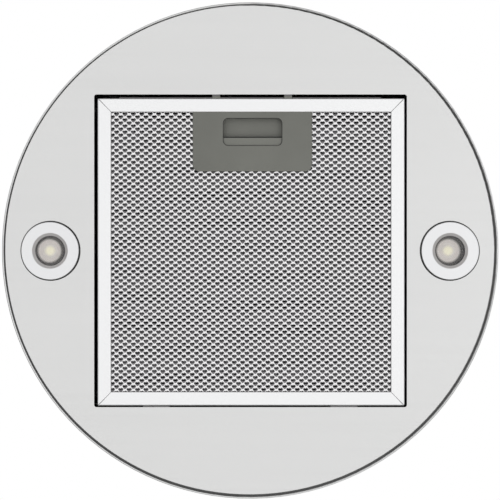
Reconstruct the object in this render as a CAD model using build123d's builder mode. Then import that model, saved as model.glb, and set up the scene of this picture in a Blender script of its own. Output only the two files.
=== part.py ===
"""Round island range hood, hung from a ceiling.

Millimetres, +Z up.  The origin is the centre of the ceiling plate's upper face, and -Y is the
front, where the buttons and the filter's latch handle are.  All z values below are negative,
because the hood hangs down from the ceiling.
"""
from build123d import *
import os
from math import acos, cos, degrees, radians, sin

os.makedirs("parts", exist_ok=True)

# Cylinder: a lower shell that slides over an upper shell
SHELL_R = 185.0
SHEET = 0.8
LOWER_SHELL_Z = (-800.0, -300.0)
HEM_WIDTH = 1.5
HEM_HEIGHT = 12.0
UPPER_SHELL_R = 183.0
UPPER_SHELL_Z = (-420.0, 0.0)

# Ceiling plate
CEILING_R = 181.8
CEILING_T = 2.0
CEILING_RIM = 20.0
DUCT_HOLE_R = 80.0
CEILING_BOLT_PCD = 300.0
CEILING_BOLT_R = 4.5
CABLE_XY = (20.0, 105.0)
CABLE_HOLE_R = 10.0

# Telescopic legs: angle sections, each lower one nested in an upper one
ANGLE_LEG = 20.0
ANGLE_T = 2.0
UPPER_LEG_CORNER = 125.0
LOWER_LEG_CORNER = 122.5
UPPER_LEG_Z = (-330.0, -CEILING_T)
LOWER_LEG_TOP = -130.0
LEG_SLOT_Z = (-308.0, -72.0)
LEG_BOLT_Z = (-160.0, -200.0)
LEG_BOLT_R = 3.0
SLOT_WIDTH = 6.6

# Underside plate, the square filter opening in it, and the lamps
PLATE_Z = -799.0
PLATE_T = 1.0
PLATE_R = 182.5
PLATE_SEAT = (-0.3, -0.5)
PLATE_TOP = PLATE_Z + PLATE_T
OPENING = 233.1
OPENING_X, OPENING_Y = 0.3, 0.2
OPENING_CORNER = 1.8
OPENING_FRONT = OPENING_Y - OPENING / 2
LAMP_X = 149.15
LAMP_Y = 0.2
LAMP_HOLE_R = 18.0
LED_SHIFT = -0.9

# Suction casing and the chassis plate that closes it
CASING = 252.0
CASING_TOP = -448.0
CHASSIS_T = 1.2
CHASSIS_TOP = CASING_TOP + CHASSIS_T

# Blower
FAN_Y, FAN_Z = 8.0, -600.0
WHEEL_R = 88.0
SCROLL_HALF = 95.0
SCROLL_T = 2.0
SCROLL_STEP = 8.0
SCROLL_OUTLET_Z = -492.0
INLET_R = 76.0
SHAFT_R = 4.0

# Exhaust spigot with a two-flap damper
SPIGOT_R = 75.0
SPIGOT_T = 1.2
SPIGOT_TOP = -385.0
DAMPER_Z = -415.0
DAMPER_PIN_R = 2.0
DAMPER_PIN_REACH = 73.9
KNUCKLE_R = 3.4
FLAP_R = 72.5

# Grease filter
FILTER = 229.2
FILTER_X, FILTER_Y = 0.7, 1.05
BAR_WIDTH, BAR_HEIGHT = 10.0, 9.0
FRAME_CORNER = 1.4
MITRE_GAP = 0.25
MESH_T = 0.8
FILTER_HALF = FILTER / 2
FILTER_FRONT = FILTER_Y - FILTER_HALF
FILTER_REAR = FILTER_Y + FILTER_HALF

# Latch handle: plate, finger window, and the slider with its two tongues
HANDLE_X, HANDLE_Y = 1.65, -81.25
HANDLE_SIZE = (88.9, 44.6)
HANDLE_T = 1.6
HANDLE_Z = PLATE_Z + SHEET - HANDLE_T
HANDLE_TOP = HANDLE_Z + HANDLE_T
WINDOW_X, WINDOW_Y = 1.85, -88.4
WINDOW = (44.3, 20.8)
WINDOW_FRONT = WINDOW_Y - WINDOW[1] / 2
WINDOW_REAR = WINDOW_Y + WINDOW[1] / 2
POCKET_WALL = 1.2
POCKET_TOP = -791.5
POCKET_REAR = -70.0
LATCH_TRAVEL = 6.0
SLIDER_Z = HANDLE_TOP + 0.3
SLIDER_T = 2.0
LIP_FRONT = -84.0
TONGUE_X = 1.5
TONGUE_SPACING = 53.6
TONGUE_WIDTH = 5.8
TONGUE_REACH = 2.5
TONGUE_TIP = FILTER_FRONT - TONGUE_REACH
TONGUE_XS = (TONGUE_X - TONGUE_SPACING / 2, TONGUE_X + TONGUE_SPACING / 2)

# Push buttons, flush with the lower shell
BUTTON_Z = -745.0
BUTTON_STEP = 7.0
BUTTON_R = 5.5
BUTTON_HOLE_R = 5.9
BUTTON_FACE_R = SHELL_R - 0.2
STEM_R = 2.85
HOUSING_INNER_R = 172.0
BUTTONS = {
    "button_off": -2,
    "button_speed_low": -1,
    "button_speed_mid": 0,
    "button_speed_high": 1,
    "button_light": 2,
}


def save(builder, label):
    """Name a finished piece and write it to its own file."""
    builder.part.label = label
    export_step(builder.part, f"parts/{label}.step")


def facing_right(y, z):
    """A plane that faces +X, with its origin at a point of the YZ plane."""
    return Plane(origin=(0, y, z), x_dir=(0, 1, 0), z_dir=(1, 0, 0))


def button_angle(step):
    return -90 + BUTTON_STEP * step


def radial_plane(angle, radius, z):
    """A plane facing outwards at an angle round the cylinder's axis."""
    out = Vector(cos(radians(angle)), sin(radians(angle)), 0)
    side = Vector(-out.Y, out.X, 0)
    return Plane(origin=out * radius + Vector(0, 0, z), x_dir=side, z_dir=out)


def block(x, y, z, mode=Mode.ADD):
    """A box given by its (low, high) limits along each axis."""
    with BuildSketch(Plane.XY.offset(z[0])) as profile:
        with Locations(((x[0] + x[1]) / 2, (y[0] + y[1]) / 2)):
            Rectangle(x[1] - x[0], y[1] - y[0])
    extrude(profile.sketch, amount=z[1] - z[0], mode=mode)


def tube(outer, inner, z):
    """A ring round the Z axis, between two heights."""
    with BuildSketch(Plane.XY.offset(z[0])) as profile:
        Circle(outer)
        Circle(inner, mode=Mode.SUBTRACT)
    extrude(profile.sketch, amount=z[1] - z[0])


# ---------------------------------------------------------------- ceiling frame

# Shallow dish that is bolted to the ceiling, rim down
with BuildPart() as ceiling_plate:
    with BuildSketch(Plane.XY.offset(-CEILING_T)):
        Circle(CEILING_R)
        Circle(DUCT_HOLE_R, mode=Mode.SUBTRACT)
        with PolarLocations(CEILING_BOLT_PCD / 2, 4):
            Circle(CEILING_BOLT_R, mode=Mode.SUBTRACT)
        with Locations(CABLE_XY):
            Circle(CABLE_HOLE_R, mode=Mode.SUBTRACT)
    extrude(amount=CEILING_T)
    tube(CEILING_R, CEILING_R - 1.5, (-CEILING_T - CEILING_RIM, -CEILING_T))
    for corner in range(4):
        with BuildSketch(radial_plane(45 + 90 * corner, CEILING_R - 4, -12)):
            Circle(2)
        extrude(amount=8, mode=Mode.SUBTRACT)
save(ceiling_plate, "ceiling_plate")


def angle_section(corner):
    """L-shaped section with its outer corner at (corner, corner)."""
    with Locations((corner, corner)):
        Rectangle(ANGLE_LEG, ANGLE_LEG, align=Align.MAX)
        with Locations((-ANGLE_T, -ANGLE_T)):
            Rectangle(ANGLE_LEG, ANGLE_LEG, align=Align.MAX, mode=Mode.SUBTRACT)


def leg_foot(corner, z):
    """Square foot that the angle is welded to."""
    with BuildSketch(Plane.XY.offset(z)) as profile:
        with Locations((corner, corner)):
            Rectangle(26, 26, align=Align.MAX)
    extrude(profile.sketch, amount=ANGLE_T)


def other_corners():
    """Repeat the first corner's solid in the other three corners."""
    mirror(about=Plane.YZ)
    mirror(about=Plane.XZ)


with BuildPart() as upper_legs:
    with BuildSketch(Plane.XY.offset(UPPER_LEG_Z[0])):
        angle_section(UPPER_LEG_CORNER)
    extrude(amount=UPPER_LEG_Z[1] - UPPER_LEG_Z[0])
    leg_foot(UPPER_LEG_CORNER, UPPER_LEG_Z[1] - ANGLE_T)
    with BuildSketch(Plane.YZ.offset(UPPER_LEG_CORNER - ANGLE_T)):
        with Locations((UPPER_LEG_CORNER - 11, sum(LEG_SLOT_Z) / 2)):
            SlotOverall(LEG_SLOT_Z[1] - LEG_SLOT_Z[0], SLOT_WIDTH, rotation=90)
    extrude(amount=ANGLE_T, mode=Mode.SUBTRACT)
    other_corners()
save(upper_legs, "upper_legs")

# Chimney shell with rows of air slots near its top, on both sides
with BuildPart() as upper_shell:
    tube(UPPER_SHELL_R, UPPER_SHELL_R - SHEET, UPPER_SHELL_Z)
    for side in (0, 180):
        for column in range(-2, 3):
            for row in range(4):
                with BuildSketch(radial_plane(side + 12 * column, UPPER_SHELL_R - 4, -50 - 12 * row)):
                    SlotOverall(30, 4)
                extrude(amount=8, mode=Mode.SUBTRACT)
    for corner in range(4):
        with BuildSketch(radial_plane(45 + 90 * corner, UPPER_SHELL_R - 4, -12)):
            Circle(2.2)
        extrude(amount=8, mode=Mode.SUBTRACT)
save(upper_shell, "upper_shell")

with BuildPart() as shell_screws:
    for corner in range(4):
        with BuildSketch(radial_plane(45 + 90 * corner, 178, -12)):
            Circle(2)
        extrude(amount=UPPER_SHELL_R - 178)
        with BuildSketch(radial_plane(45 + 90 * corner, UPPER_SHELL_R, -12)):
            Circle(3.8)
        extrude(amount=1.4)
save(shell_screws, "shell_screws")

# ---------------------------------------------------------------- hood body

with BuildPart() as lower_shell:
    tube(SHELL_R, SHELL_R - SHEET, LOWER_SHELL_Z)
    tube(SHELL_R - SHEET, SHELL_R - HEM_WIDTH, (LOWER_SHELL_Z[0], LOWER_SHELL_Z[0] + HEM_HEIGHT))
    fillet(lower_shell.faces().sort_by(Axis.Z)[0].edges(), radius=0.7)
    for step in BUTTONS.values():
        with BuildSketch(radial_plane(button_angle(step), SHELL_R - 8, BUTTON_Z)):
            Circle(BUTTON_HOLE_R)
        extrude(amount=12, mode=Mode.SUBTRACT)
save(lower_shell, "lower_shell")

# Underside: a round tray with an upturned rim and a square opening, seated slightly off the shell's axis
with BuildPart() as bottom_plate:
    with BuildSketch(Plane.XY.offset(PLATE_Z)):
        with Locations(PLATE_SEAT):
            Circle(PLATE_R)
    extrude(amount=HEM_HEIGHT)
    with BuildSketch(Plane.XY.offset(PLATE_TOP)):
        with Locations(PLATE_SEAT):
            Circle(PLATE_R - PLATE_T)
    extrude(amount=HEM_HEIGHT, mode=Mode.SUBTRACT)
    fillet(bottom_plate.faces().sort_by(Axis.Z)[0].edges(), radius=0.5)
    with BuildSketch(Plane.XY.offset(PLATE_Z)):
        with Locations((OPENING_X, OPENING_Y)):
            RectangleRounded(OPENING, OPENING, OPENING_CORNER)
        with Locations((-LAMP_X, LAMP_Y), (LAMP_X, LAMP_Y)):
            Circle(LAMP_HOLE_R)
    extrude(amount=PLATE_T, mode=Mode.SUBTRACT)
save(bottom_plate, "bottom_plate")

# Square air box with a welding flange along its front and rear walls
with BuildPart() as suction_casing:
    with BuildSketch(Plane.XY.offset(PLATE_TOP)):
        Rectangle(CASING, CASING)
        Rectangle(CASING - 2, CASING - 2, mode=Mode.SUBTRACT)
    extrude(amount=CASING_TOP - PLATE_TOP)
    for side in (-1, 1):
        edges = sorted((side * CASING / 2, side * (CASING / 2 + 10)))
        block((-100, 100), edges, (PLATE_TOP, PLATE_TOP + SHEET))
save(suction_casing, "suction_casing")

with BuildPart() as chassis_plate:
    with BuildSketch(Plane.XY.offset(CASING_TOP)):
        Rectangle(CASING + 2, CASING + 2)
        Circle(SPIGOT_R - SPIGOT_T, mode=Mode.SUBTRACT)
    extrude(amount=CHASSIS_T)
save(chassis_plate, "chassis_plate")

with BuildPart() as lower_legs:
    with BuildSketch(Plane.XY.offset(CHASSIS_TOP)):
        angle_section(LOWER_LEG_CORNER)
    extrude(amount=LOWER_LEG_TOP - CHASSIS_TOP)
    leg_foot(LOWER_LEG_CORNER, CHASSIS_TOP)
    with BuildSketch(Plane.YZ.offset(LOWER_LEG_CORNER - ANGLE_T)):
        for z in LEG_BOLT_Z:
            with Locations((UPPER_LEG_CORNER - 11, z)):
                Circle(LEG_BOLT_R)
    extrude(amount=ANGLE_T, mode=Mode.SUBTRACT)
    other_corners()
save(lower_legs, "lower_legs")

# Bolts through both angles; the heads stay just clear of the slotted outer angle
with BuildPart() as leg_bolts:
    for z in LEG_BOLT_Z:
        centre = facing_right(UPPER_LEG_CORNER - 11, z)
        with BuildSketch(centre.offset(LOWER_LEG_CORNER - ANGLE_T - 9)):
            Circle(LEG_BOLT_R)
        extrude(amount=ANGLE_T + 9 + 3)
        with BuildSketch(centre.offset(UPPER_LEG_CORNER + 0.3)):
            RegularPolygon(5.5, 6)
        extrude(amount=4)
        with BuildSketch(centre.offset(LOWER_LEG_CORNER - ANGLE_T - 5)):
            RegularPolygon(5.5, 6)
        extrude(amount=5)
    other_corners()
save(leg_bolts, "leg_bolts")

# Z-shaped straps between the casing and the shell
BRACKET_Z = -540.0
with BuildPart() as shell_brackets:
    with BuildSketch(Plane.XZ.offset(-15)):
        with BuildLine():
            Polyline(
                (CASING / 2, BRACKET_Z), (183.5, BRACKET_Z),
                (183.5, BRACKET_Z + 16), (182, BRACKET_Z + 16),
                (182, BRACKET_Z + 1.5), (CASING / 2 + 1.5, BRACKET_Z + 1.5),
                (CASING / 2 + 1.5, BRACKET_Z + 16), (CASING / 2, BRACKET_Z + 16), close=True,
            )
        make_face()
    extrude(amount=30)
    for turn in (90, 180, 270):
        add(shell_brackets.part.solids().sort_by(Axis.X)[-1].rotate(Axis.Z, turn))
save(shell_brackets, "shell_brackets")

# ---------------------------------------------------------------- blower

AXLE = facing_right(FAN_Y, FAN_Z)


def scroll_outline(top, grow):
    """Spiral of three quarter arcs that opens into an upright outlet; grow offsets it outwards."""
    step = SCROLL_STEP
    near, far = FAN_Y + step / 2, FAN_Y - step / 2
    low, high = FAN_Z - step / 2, FAN_Z + step / 2
    radius = WHEEL_R + 10 + grow
    start = degrees(acos(grow / radius))
    with BuildLine() as outline:
        first = CenterArc((near, low), radius, start, -start)
        CenterArc((far, low), radius + step, 0, -90)
        last = CenterArc((far, high), radius + 2 * step, -90, -90)
        Polyline(last @ 1, ((last @ 1).X, top), ((first @ 0).X, top), first @ 0)
    make_face(outline.edges())


def scroll_half(side):
    """Half of the scroll housing, from the middle plane to one inlet."""
    with BuildSketch(Plane.YZ) as outside:
        scroll_outline(SCROLL_OUTLET_Z, SCROLL_T)
    extrude(outside.sketch, amount=side * SCROLL_HALF)
    with BuildSketch(Plane.YZ) as inside:
        scroll_outline(SCROLL_OUTLET_Z + 5, 0)
    extrude(inside.sketch, amount=side * (SCROLL_HALF - SCROLL_T), mode=Mode.SUBTRACT)
    with BuildSketch(AXLE) as inlet:
        Circle(INLET_R)
    extrude(inlet.sketch, amount=side * SCROLL_HALF, mode=Mode.SUBTRACT)


with BuildPart() as scroll_left:
    scroll_half(-1)
save(scroll_left, "scroll_left")

with BuildPart() as scroll_right:
    scroll_half(1)
save(scroll_right, "scroll_right")

# Tapered duct from the scroll's rectangular outlet to the round hole above it
OUTLET_Y = (FAN_Y - SCROLL_STEP / 2 - (WHEEL_R + 10 + 2 * SCROLL_STEP), FAN_Y + SCROLL_STEP / 2)


def outlet_taper(inset, mode):
    with BuildSketch(Plane((0, sum(OUTLET_Y) / 2, SCROLL_OUTLET_Z))) as low:
        Rectangle(2 * (SCROLL_HALF - inset), OUTLET_Y[1] - OUTLET_Y[0] + 2 * (SCROLL_T - inset))
    with BuildSketch(Plane.XY.offset(CASING_TOP)) as high:
        Circle(SPIGOT_R + 1 - inset)
    loft(sections=[low.sketch, high.sketch], mode=mode)


with BuildPart() as outlet_duct:
    outlet_taper(0, Mode.ADD)
    outlet_taper(SCROLL_T, Mode.SUBTRACT)
save(outlet_duct, "outlet_duct")

# Double-inlet wheel: a middle disc, two end rings and blades right across
with BuildPart() as fan_wheel:
    with BuildSketch(AXLE.offset(-1)):
        Circle(WHEEL_R - 1)
    extrude(amount=2)
    with BuildSketch(AXLE.offset(-14)):
        Circle(12)
    extrude(amount=14)
    for x in (-85, 83.8):
        with BuildSketch(AXLE.offset(x)):
            Circle(WHEEL_R)
            Circle(WHEEL_R - 15, mode=Mode.SUBTRACT)
        extrude(amount=1.2)
    with BuildSketch(AXLE.offset(-84.4)):
        with PolarLocations(WHEEL_R - 8, 36):
            Rectangle(13.5, 1, rotation=35)
    extrude(amount=168.8)
    with BuildSketch(AXLE.offset(-14)):
        Circle(SHAFT_R)
    extrude(amount=20, mode=Mode.SUBTRACT)
save(fan_wheel, "fan_wheel")

with BuildPart() as motor_shaft:
    with BuildSketch(AXLE.offset(-14)):
        Circle(SHAFT_R)
    extrude(amount=104)
save(motor_shaft, "motor_shaft")

# Motor can, reaching into the right half of the wheel
with BuildPart() as motor:
    with BuildSketch(AXLE.offset(20)):
        Circle(42)
    extrude(amount=70)
    fillet(motor.edges(), radius=4)
    with BuildSketch(AXLE.offset(12)):
        Circle(13)
    extrude(amount=8)
    with BuildSketch(AXLE.offset(90)):
        Circle(30)
    extrude(amount=SCROLL_HALF - 90)
    with BuildSketch(AXLE.offset(12)):
        Circle(SHAFT_R + 0.06)
    extrude(amount=80, mode=Mode.SUBTRACT)
save(motor, "motor")

with BuildPart() as motor_bracket:
    with BuildSketch(AXLE.offset(SCROLL_HALF)):
        Circle(32)
        with PolarLocations(58, 3, start_angle=90):
            Rectangle(58, 14)
        with PolarLocations(24, 3, start_angle=30):
            Circle(2.5, mode=Mode.SUBTRACT)
    extrude(amount=2)
save(motor_bracket, "motor_bracket")

# Straps that hang the scroll from the chassis plate
with BuildPart() as blower_straps:
    for side in (-1, 1):
        inner, outer = side * SCROLL_HALF, side * (SCROLL_HALF + 2)
        block(sorted((inner, outer)), (50, 70), (-560, CASING_TOP))
        block(sorted((inner, side * (SCROLL_HALF + 18))), (50, 70), (CASING_TOP - 2, CASING_TOP))
save(blower_straps, "blower_straps")

# Motor's run capacitor, clipped to the casing's rear wall
with BuildPart() as capacitor:
    with BuildSketch(Plane.XY.offset(-650)):
        with Locations((60, CASING / 2 + 16)):
            Circle(15)
    extrude(amount=62)
    fillet(capacitor.edges(), radius=1.5)
    block((52, 68), (CASING / 2, CASING / 2 + 4), (-630, -610))
save(capacitor, "capacitor")

# ---------------------------------------------------------------- spigot and damper

# The pin's ends sit in blind bosses inside the spigot, so the outside stays smooth for the duct
PIN_PLANE = facing_right(0, DAMPER_Z)

with BuildPart() as exhaust_spigot:
    tube(SPIGOT_R, SPIGOT_R - SPIGOT_T, (CHASSIS_TOP, SPIGOT_TOP))
    tube(SPIGOT_R + 13, SPIGOT_R - SPIGOT_T, (CHASSIS_TOP, CHASSIS_TOP + 1.5))
    tube(SPIGOT_R, SPIGOT_R - 4.5, (DAMPER_Z - 2.5, DAMPER_Z - 1))
    for side in (-1, 1):
        with BuildSketch(PIN_PLANE.offset(side * (SPIGOT_R - 0.5))):
            Circle(KNUCKLE_R)
        extrude(amount=-5.5 * side)
    with BuildSketch(PIN_PLANE):
        Circle(DAMPER_PIN_R)
    extrude(amount=DAMPER_PIN_REACH, both=True, mode=Mode.SUBTRACT)
save(exhaust_spigot, "exhaust_spigot")

with BuildPart() as damper_pin:
    with BuildSketch(PIN_PLANE):
        Circle(DAMPER_PIN_R)
    extrude(amount=DAMPER_PIN_REACH, both=True)
save(damper_pin, "damper_pin")


def damper_flap(side, knuckle_starts):
    """Half-moon flap on one side of the pin, with knuckles that wrap the pin."""
    gap = KNUCKLE_R + 0.8
    reach = FLAP_R - gap
    with BuildSketch(Plane.XY.offset(DAMPER_Z - 0.5)) as blade:
        Circle(FLAP_R)
        with Locations((0, side * (gap + reach / 2))):
            Rectangle(2 * FLAP_R, reach, mode=Mode.INTERSECT)
    extrude(blade.sketch, amount=1)
    for start in knuckle_starts:
        with BuildSketch(PIN_PLANE.offset(start)) as knuckle:
            Circle(KNUCKLE_R)
            with Locations((side * (gap + 1) / 2, 0)):
                Rectangle(gap + 1, 1)
        extrude(knuckle.sketch, amount=24)
    with BuildSketch(PIN_PLANE) as bore:
        Circle(DAMPER_PIN_R + 0.06)
    extrude(bore.sketch, amount=FLAP_R, both=True, mode=Mode.SUBTRACT)


with BuildPart() as damper_flap_front:
    damper_flap(-1, (-56, 4))
save(damper_flap_front, "damper_flap_front")

with BuildPart() as damper_flap_rear:
    damper_flap(1, (-28, 32))
save(damper_flap_rear, "damper_flap_rear")

# ---------------------------------------------------------------- electrics

with BuildPart() as led_driver:
    block((-50, 50), (138, 164), (PLATE_TOP, PLATE_TOP + 22))
    fillet(led_driver.edges().filter_by(Axis.Z), radius=2)
save(led_driver, "led_driver")

TERMINAL_X, TERMINAL_Y, TERMINAL_Z = (-32, 32), (90, 120), (CHASSIS_TOP, CHASSIS_TOP + 34)
with BuildPart() as terminal_box:
    block(TERMINAL_X, TERMINAL_Y, TERMINAL_Z)
    block((-30, 30), (92, 118), (TERMINAL_Z[0] + 2, TERMINAL_Z[1]), Mode.SUBTRACT)
save(terminal_box, "terminal_box")

with BuildPart() as terminal_lid:
    block((-33, 33), (89, 121), (TERMINAL_Z[1], TERMINAL_Z[1] + 2))
    fillet(terminal_lid.edges().filter_by(Axis.Z), radius=2)
    with BuildSketch(Plane.XY.offset(TERMINAL_Z[1])):
        with Locations(CABLE_XY):
            Circle(6)
    extrude(amount=2, mode=Mode.SUBTRACT)
save(terminal_lid, "terminal_lid")

# Gland in the lid: thread, hexagon and cap, straight below the ceiling plate's cable hole
with BuildPart() as cable_gland:
    thread = Plane(origin=(*CABLE_XY, TERMINAL_Z[1] - 4))
    with BuildSketch(thread):
        Circle(5.9)
    extrude(amount=6)
    with BuildSketch(thread.offset(6)):
        RegularPolygon(9, 6)
    extrude(amount=6)
    with BuildSketch(thread.offset(12)):
        Circle(7)
    extrude(amount=8)
    with BuildSketch(thread):
        Circle(3.6)
    extrude(amount=20, mode=Mode.SUBTRACT)
save(cable_gland, "cable_gland")

# Curved guide behind the shell, with a stepped bore for each button
HOUSING_Z = (BUTTON_Z - 12, BUTTON_Z + 12)
with BuildPart() as control_housing:
    with BuildSketch(Plane.XY.offset(HOUSING_Z[0])):
        Circle(SHELL_R - SHEET - 0.2)
        Circle(HOUSING_INNER_R, mode=Mode.SUBTRACT)
        with Locations((0, -SHELL_R)):
            Rectangle(124, 60, mode=Mode.INTERSECT)
    extrude(amount=HOUSING_Z[1] - HOUSING_Z[0])
    for side in (-1, 1):
        block(sorted((side * 54, side * 59)), (-165, -160), HOUSING_Z)
    for step in BUTTONS.values():
        with BuildSketch(radial_plane(button_angle(step), 176, BUTTON_Z)):
            Circle(BUTTON_HOLE_R)
        extrude(amount=12, mode=Mode.SUBTRACT)
        with BuildSketch(radial_plane(button_angle(step), 160, BUTTON_Z)):
            Circle(STEM_R + 0.3)
        extrude(amount=20, mode=Mode.SUBTRACT)
save(control_housing, "control_housing")

# Circuit board with one switch in line with each button
BOARD_Y = -160.0
with BuildPart() as control_board:
    block((-60, 60), (BOARD_Y, BOARD_Y + 1.6), HOUSING_Z)
    for step in BUTTONS.values():
        angle = button_angle(step)
        base = (-BOARD_Y - 1.2) / cos(radians(angle + 90))
        with BuildSketch(radial_plane(angle, base, BUTTON_Z)):
            Rectangle(6, 6)
        extrude(amount=168.2 - base)
save(control_board, "control_board")

for name, step in BUTTONS.items():
    with BuildPart() as button:
        with BuildSketch(radial_plane(button_angle(step), 178, BUTTON_Z)):
            Circle(BUTTON_R)
        extrude(amount=BUTTON_FACE_R - 178)
        fillet(button.edges().filter_by(GeomType.CIRCLE).sort_by(Axis.Y)[0], radius=0.4)
        with BuildSketch(radial_plane(button_angle(step), 170, BUTTON_Z)):
            Circle(STEM_R)
        extrude(amount=8)
    save(button, name)

# ---------------------------------------------------------------- lamps


def lathe(x, points):
    """Turn an outline of (radius, height above the underside) points round a lamp's axis."""
    axis = Plane(origin=(x, LAMP_Y, PLATE_Z), x_dir=(1, 0, 0), z_dir=(0, -1, 0))
    with BuildSketch(axis) as profile:
        with BuildLine():
            Polyline(*points, close=True)
        make_face()
    revolve(profile.sketch, axis=Axis((x, LAMP_Y, 0), (0, 0, 1)))


for side, x in (("left", -LAMP_X), ("right", LAMP_X)):
    lamp_plane = Plane(origin=(x, LAMP_Y, PLATE_Z))
    led_plane = Plane(origin=(x + LED_SHIFT, LAMP_Y, PLATE_Z))

    with BuildPart() as lamp_bezel:
        lathe(x, [
            (13.3, -1.0), (21.2, -1.0), (21.5, -0.7), (21.5, 0), (17.6, 0), (17.6, 14),
            (16.6, 14), (16.6, 2.6), (11.25, 2.6), (11.25, 1.4),
        ])
    save(lamp_bezel, f"{side}_lamp_bezel")

    with BuildPart() as lamp_lens:
        with BuildSketch(lamp_plane.offset(2.6)):
            Circle(16.4)
        extrude(amount=1.2)
    save(lamp_lens, f"{side}_lamp_lens")

    with BuildPart() as lamp_reflector:
        lathe(x + LED_SHIFT, [(11, 3.8), (15.4, 3.8), (15.4, 4.6), (12, 4.6), (6.6, 12), (5.6, 12)])
    save(lamp_reflector, f"{side}_lamp_reflector")

    with BuildPart() as lamp_led:
        with BuildSketch(led_plane.offset(12)):
            Circle(15.4)
        extrude(amount=2)
        with BuildSketch(led_plane.offset(11.2)):
            Rectangle(7.3, 7.3)
        extrude(amount=0.8)
    save(lamp_led, f"{side}_lamp_led")

    with BuildPart() as lamp_heatsink:
        with BuildSketch(lamp_plane.offset(14)):
            Circle(17.6)
        extrude(amount=3)
        with BuildSketch(lamp_plane.offset(17)):
            with GridLocations(4.6, 0, 7, 1):
                Rectangle(1.6, 36)
            Circle(17.6, mode=Mode.INTERSECT)
        extrude(amount=14)
    save(lamp_heatsink, f"{side}_lamp_heatsink")

# Leaf springs that press down on the plate and hold each lamp up
with BuildPart() as lamp_clips:
    for x in (-LAMP_X, LAMP_X):
        for turn in (90, 270):
            leaf = Plane(origin=(x, LAMP_Y, PLATE_Z)).rotated((0, 0, turn))
            with BuildSketch(Plane(leaf.origin, x_dir=leaf.x_dir, z_dir=-leaf.y_dir).offset(-4)):
                with BuildLine():
                    Polyline(
                        (17.6, 12.5), (17.6, 9.5), (18.2, 9.5), (18.4, 10.6), (24, 1.6), (26.5, 1),
                        (27, 1.4), (24.6, 2.2), (18.6, 12.5), close=True,
                    )
                make_face()
            extrude(amount=8)
save(lamp_clips, "lamp_clips")

# ---------------------------------------------------------------- grease filter

FILTER_CENTRE = Vector(FILTER_X, FILTER_Y, PLATE_Z)


def filter_channel(turn):
    """One side of the frame: a U channel, open inwards, mitred at both ends."""
    inward = Vector(0, 1, 0).rotate(Axis.Z, turn)
    along = Vector(1, 0, 0).rotate(Axis.Z, turn)
    middle = FILTER_CENTRE - inward * FILTER_HALF
    with BuildSketch(Plane(origin=middle, x_dir=inward, z_dir=along)) as section:
        Rectangle(BAR_WIDTH, BAR_HEIGHT, align=Align.MIN)
        fillet(section.vertices().group_by(Axis.X)[0], radius=1)
        with Locations((SHEET, SHEET)):
            Rectangle(BAR_WIDTH, BAR_HEIGHT - 2 * SHEET, align=Align.MIN, mode=Mode.SUBTRACT)
    extrude(section.sketch, amount=FILTER_HALF, both=True)
    for end in (-1, 1):
        corner = middle + along * end * (FILTER_HALF - MITRE_GAP / 2)
        split(bisect_by=Plane(origin=corner, z_dir=along * end + inward), keep=Keep.BOTTOM)
    with BuildSketch(Plane(FILTER_CENTRE)) as outline:
        RectangleRounded(FILTER, FILTER, FRAME_CORNER)
    extrude(outline.sketch, amount=BAR_HEIGHT, mode=Mode.INTERSECT)


with BuildPart() as frame_bar_front:
    filter_channel(0)
    for x in TONGUE_XS:
        reach = TONGUE_WIDTH / 2 + 0.3
        block((x - reach, x + reach), (FILTER_FRONT, FILTER_FRONT + SHEET),
              (SLIDER_Z - 0.2, SLIDER_Z + SLIDER_T + 0.3), Mode.SUBTRACT)
save(frame_bar_front, "frame_bar_front")

for name, turn in (("right", 90), ("rear", 180), ("left", 270)):
    with BuildPart() as frame_bar:
        filter_channel(turn)
    save(frame_bar, f"frame_bar_{name}")

# Flat corner plates, riveted on the frame's hidden side
with BuildPart() as corner_plates:
    with BuildSketch(Plane(FILTER_CENTRE).offset(BAR_HEIGHT)):
        for x_side in (-1, 1):
            for y_side in (-1, 1):
                with Locations((x_side * (FILTER_HALF - 16), y_side * (FILTER_HALF - 5))):
                    Rectangle(28, 7)
                with Locations((x_side * (FILTER_HALF - 5), y_side * (FILTER_HALF - 16))):
                    Rectangle(7, 28)
    extrude(amount=SHEET)
save(corner_plates, "corner_plates")

# Dark strip along the middle of the front bar's outer face
with BuildPart() as edge_strip:
    block((-97.7, 97.5), (FILTER_FRONT - 0.6, FILTER_FRONT), (PLATE_Z + 1, PLATE_Z + 7))
    for x in TONGUE_XS:
        reach = TONGUE_WIDTH / 2 + 0.3
        block((x - reach, x + reach), (FILTER_FRONT - 0.6, FILTER_FRONT),
              (SLIDER_Z - 0.2, SLIDER_Z + SLIDER_T + 0.3), Mode.SUBTRACT)
save(edge_strip, "edge_strip")


def filter_layer(bottom, top):
    """A square sheet inside the channels, cut away where the latch works."""
    with BuildSketch(Plane(FILTER_CENTRE).offset(bottom)) as sheet:
        Rectangle(FILTER - 2 * SHEET - 0.6, FILTER - 2 * SHEET - 0.6)
    extrude(sheet.sketch, amount=top - bottom)
    block((HANDLE_X - 42, HANDLE_X + 42), (FILTER_FRONT, HANDLE_Y + 20.4),
          (PLATE_Z + bottom, PLATE_Z + top), Mode.SUBTRACT)


BACK_MESH_Z = BAR_HEIGHT - SHEET - MESH_T

with BuildPart() as face_mesh:
    filter_layer(SHEET, SHEET + MESH_T)
save(face_mesh, "face_mesh")

with BuildPart() as filter_core:
    filter_layer(SHEET + MESH_T, BACK_MESH_Z)
save(filter_core, "filter_core")

with BuildPart() as back_mesh:
    filter_layer(BACK_MESH_Z, BACK_MESH_Z + MESH_T)
save(back_mesh, "back_mesh")

# Tabs on the rear bar that rest on the edge of the opening
with BuildPart() as rear_tabs:
    for x in (-70, 70):
        block((x - 10, x + 10), (FILTER_REAR, FILTER_REAR + SHEET), (PLATE_TOP + 0.3, PLATE_TOP + 6.5))
        block((x - 10, x + 10), (FILTER_REAR, FILTER_REAR + 6), (PLATE_TOP + 0.3, PLATE_TOP + 1.1))
save(rear_tabs, "rear_tabs")

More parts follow.
